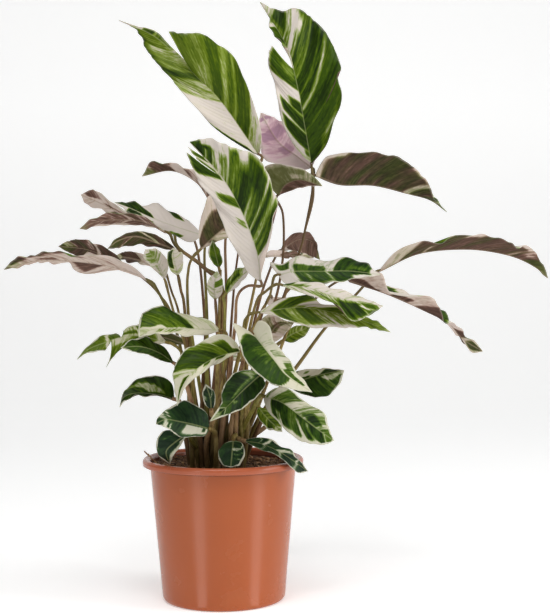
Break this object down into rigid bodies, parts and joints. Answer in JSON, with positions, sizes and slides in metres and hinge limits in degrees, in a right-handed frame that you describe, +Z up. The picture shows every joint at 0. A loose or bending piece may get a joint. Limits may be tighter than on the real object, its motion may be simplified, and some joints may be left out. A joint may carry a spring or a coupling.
{
  "type": "potted plant",
  "caption": "Potted foliage plant: long-stalked, wavy, white-and-green variegated leaves with purple-brown undersides rise from a tapered round nursery pot filled with soil.",
  "frame": {"origin": "centre of the pot's underside", "axes": "+Z up, -Y towards the side the picture shows, +X to the right as seen from there"},
  "size_m": [0.576, 0.2916, 0.6347],
  "materials": {
    "pot": "terracotta-coloured moulded plastic, softly glossy",
    "soil": "dark crumbly potting mix with bits of bark",
    "stalks": "smooth olive to purple-brown stalks",
    "leaves": "satin leaf, cream and green above, purple-brown below"
  },
  "bodies": {
    "root": {"pot": "pot", "soil": "soil", "crown_left": "stalks", "crown_front": "stalks", "crown_middle": "stalks", "crown_back": "stalks", "crown_front_right": "stalks", "crown_right": "stalks", "leaf_01": "leaves", "leaf_02": "leaves", "leaf_03": "leaves", "leaf_04": "leaves", "leaf_05": "leaves", "leaf_06": "leaves", "leaf_07": "leaves", "leaf_08": "leaves", "leaf_09": "leaves", "leaf_10": "leaves", "leaf_11": "leaves", "leaf_12": "leaves", "leaf_13": "leaves", "leaf_14": "leaves", "leaf_15": "leaves", "leaf_16": "leaves", "leaf_17": "leaves", "leaf_18": "leaves", "leaf_19": "leaves", "leaf_20": "leaves", "leaf_21": "leaves", "leaf_22": "leaves", "leaf_23": "leaves", "leaf_24": "leaves", "leaf_25": "leaves", "leaf_26": "leaves", "leaf_27": "leaves", "leaf_28": "leaves", "leaf_29": "leaves", "leaf_30": "leaves", "leaf_31": "leaves", "leaf_32": "leaves", "leaf_33": "leaves", "leaf_34": "leaves", "leaf_35": "leaves", "leaf_36": "leaves", "leaf_37": "leaves", "leaf_38": "leaves", "leaf_39": "leaves", "leaf_40": "leaves", "leaf_41": "leaves", "leaf_42": "leaves", "leaf_43": "leaves", "leaf_44": "leaves", "leaf_45": "leaves", "leaf_46": "leaves", "leaf_47": "leaves", "leaf_48": "leaves", "leaf_49": "leaves", "leaf_50": "leaves", "leaf_51": "leaves", "leaf_52": "leaves"}
  },
  "joints": []
}
